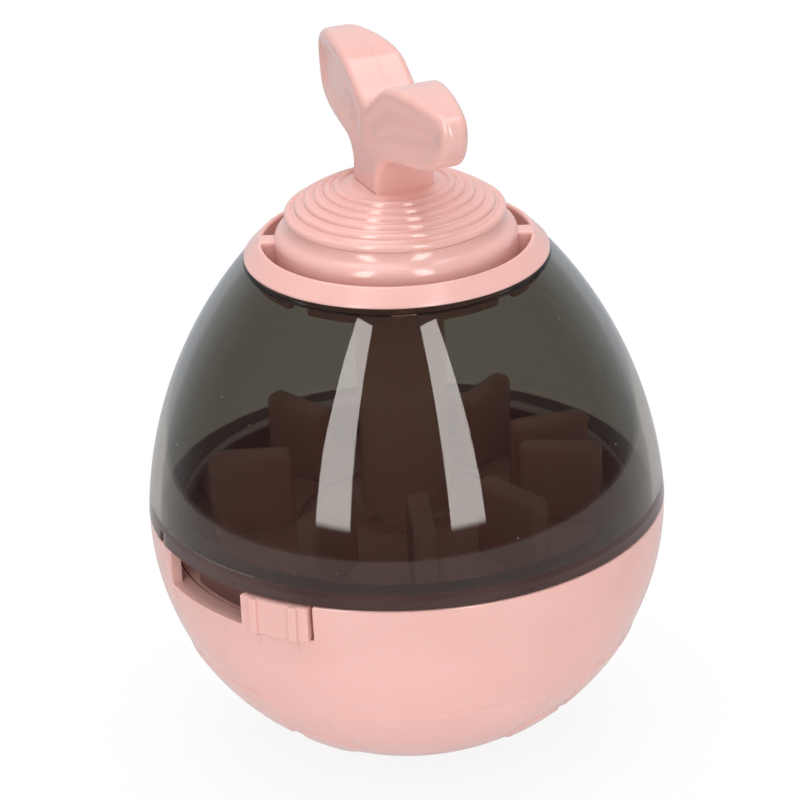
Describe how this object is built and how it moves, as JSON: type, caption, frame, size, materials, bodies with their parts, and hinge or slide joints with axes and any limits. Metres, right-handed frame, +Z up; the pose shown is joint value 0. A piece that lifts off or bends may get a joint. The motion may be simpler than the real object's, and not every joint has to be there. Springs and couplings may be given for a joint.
{
  "type": "treat dispensing ball",
  "caption": "Weighted egg-shaped pet feeder ball with a smoked dome, a turning and sliding food outlet at the seam, and a ribbed lift-out lid with a sprout knob.",
  "frame": {"origin": "centre of the flat foot, where the ball stands", "axes": "+Z up along the ball's axis; -Y towards the viewer of the picture, +X to that viewer's right; the outlet window faces front left"},
  "size_m": [0.1052, 0.1052, 0.1459],
  "materials": {
    "pink_plastic": "glossy moulded plastic, pale pink",
    "smoked_plastic": "clear smoked plastic, grey-brown",
    "screw_steel": "zinc plated",
    "ballast_iron": "plain casting"
  },
  "bodies": {
    "base": {"base_shell": "pink_plastic", "ballast_weight": "ballast_iron", "ballast_cover": "pink_plastic", "ballast_screws": "screw_steel", "food_tray": "pink_plastic", "tray_screws": "screw_steel", "maze_ring": "pink_plastic", "centre_column": "pink_plastic", "column_screw": "screw_steel"},
    "dome": {"dome_shell": "smoked_plastic", "cap_ring": "pink_plastic"},
    "lid": {"fill_lid": "pink_plastic", "sprout_front": "pink_plastic", "sprout_back": "pink_plastic", "sprout_screws": "screw_steel"},
    "slider": {"outlet_slider": "pink_plastic"}
  },
  "joints": [
    {"name": "dome_turn", "type": "hinge", "parent": "base", "child": "dome", "pos_m": [0, 0, 0.0535], "axis": [0, 0, 1], "range_deg": [0, 45]},
    {"name": "lid_lift", "type": "slide", "parent": "dome", "child": "lid", "axis": [0, 0, 1], "range_m": [0, 0.03]},
    {"name": "outlet_slide", "type": "hinge", "parent": "base", "child": "slider", "pos_m": [0, 0, 0.0495], "axis": [0, 0, 1], "range_deg": [-25, 0]}
  ]
}
